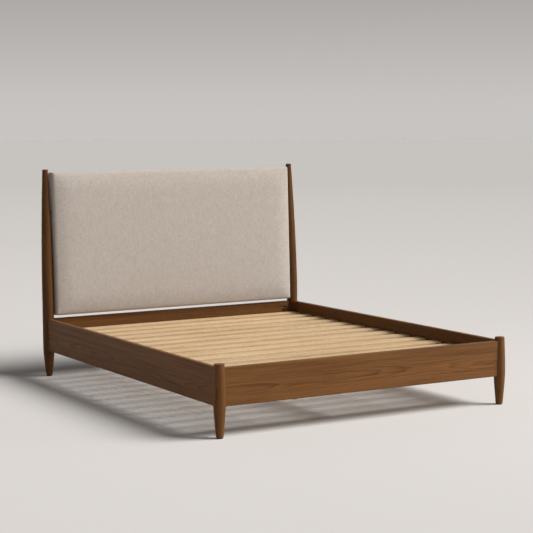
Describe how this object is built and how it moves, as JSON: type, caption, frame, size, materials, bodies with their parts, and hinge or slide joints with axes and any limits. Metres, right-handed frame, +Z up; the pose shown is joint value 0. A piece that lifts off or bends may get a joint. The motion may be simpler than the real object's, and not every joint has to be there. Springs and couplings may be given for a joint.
{
  "type": "bed frame",
  "caption": "Low platform bed frame in walnut with turned tapered posts, plain rail boards, a raked upholstered headboard panel, a slatted base and adjustable centre legs.",
  "frame": {"origin": "on the floor, under the centre of the whole bed's outline", "axes": "+X to the right seen from the foot end, +Y towards the headboard, +Z up"},
  "size_m": [1.7124, 2.1604, 1.1954],
  "materials": {
    "walnut": "satin",
    "pine": "matte",
    "slat_pine": "matte",
    "beech": "matte",
    "plywood": "matte",
    "foam": "matte",
    "linen": "matte",
    "dust_cloth": "matte",
    "webbing": "matte",
    "felt": "matte",
    "zinc_steel": "satin",
    "black_steel": "satin",
    "black_plastic": "matte"
  },
  "bodies": {
    "bed_frame": {"headboard_post_left": "walnut", "headboard_post_right": "walnut", "headboard_crossrail": "walnut", "side_rail_left": "walnut", "side_rail_right": "walnut", "foot_rail": "walnut", "foot_post_left": "walnut", "foot_post_right": "walnut", "panel_stile_left": "pine", "panel_stile_right": "pine", "panel_top_rail": "pine", "panel_bottom_rail": "pine", "panel_mullions": "pine", "ledger_left": "pine", "ledger_right": "pine", "centre_beam": "pine", "centre_leg_foot_end": "pine", "centre_leg_head_end": "pine", "slat_01": "slat_pine", "slat_02": "slat_pine", "slat_03": "slat_pine", "slat_04": "slat_pine", "slat_05": "slat_pine", "slat_06": "slat_pine", "slat_07": "slat_pine", "slat_08": "slat_pine", "slat_09": "slat_pine", "slat_10": "slat_pine", "slat_11": "slat_pine", "slat_12": "slat_pine", "slat_13": "slat_pine", "slat_14": "slat_pine", "panel_frame_dowels": "beech", "panel_face_board": "plywood", "panel_foam": "foam", "panel_cover": "linen", "panel_back_cloth": "dust_cloth", "panel_spacers": "black_plastic", "panel_studs": "zinc_steel", "panel_half_moon_washers": "zinc_steel", "panel_nuts": "zinc_steel", "rail_studs": "zinc_steel", "rail_half_moon_washers": "zinc_steel", "rail_nuts": "zinc_steel", "ledger_screws": "zinc_steel", "beam_hanger_screws": "zinc_steel", "leg_plate_screws": "zinc_steel", "leg_studs": "zinc_steel", "leg_tee_nuts": "zinc_steel", "slat_screws": "zinc_steel", "beam_hanger_foot_end": "black_steel", "beam_hanger_head_end": "black_steel", "leg_plates": "black_steel", "post_glides": "felt", "slat_webbing": "webbing"},
    "pad_foot_end": {"leveller_pad_foot_end": "black_plastic"},
    "screw_foot_end": {"leveller_stem_foot_end": "zinc_steel"},
    "pad_head_end": {"leveller_pad_head_end": "black_plastic"},
    "screw_head_end": {"leveller_stem_head_end": "zinc_steel"}
  },
  "joints": [
    {"name": "leveller_lift_foot_end", "type": "slide", "parent": "bed_frame", "child": "pad_foot_end", "axis": [0, 0, 1], "range_m": [-0.01, 0.01]},
    {"name": "leveller_turn_foot_end", "type": "hinge", "parent": "pad_foot_end", "child": "screw_foot_end", "pos_m": [0, -0.35743, 0.03], "axis": [0, 0, 1], "range_deg": [-2880, 2880]},
    {"name": "leveller_lift_head_end", "type": "slide", "parent": "bed_frame", "child": "pad_head_end", "axis": [0, 0, 1], "range_m": [-0.01, 0.01]},
    {"name": "leveller_turn_head_end", "type": "hinge", "parent": "pad_head_end", "child": "screw_head_end", "pos_m": [0, 0.33537, 0.03], "axis": [0, 0, 1], "range_deg": [-2880, 2880]}
  ],
  "couplings": [
    {"joint": "leveller_lift_foot_end", "follows": "leveller_turn_foot_end", "m_per_rad": 0.00019894},
    {"joint": "leveller_lift_head_end", "follows": "leveller_turn_head_end", "m_per_rad": 0.00019894}
  ]
}
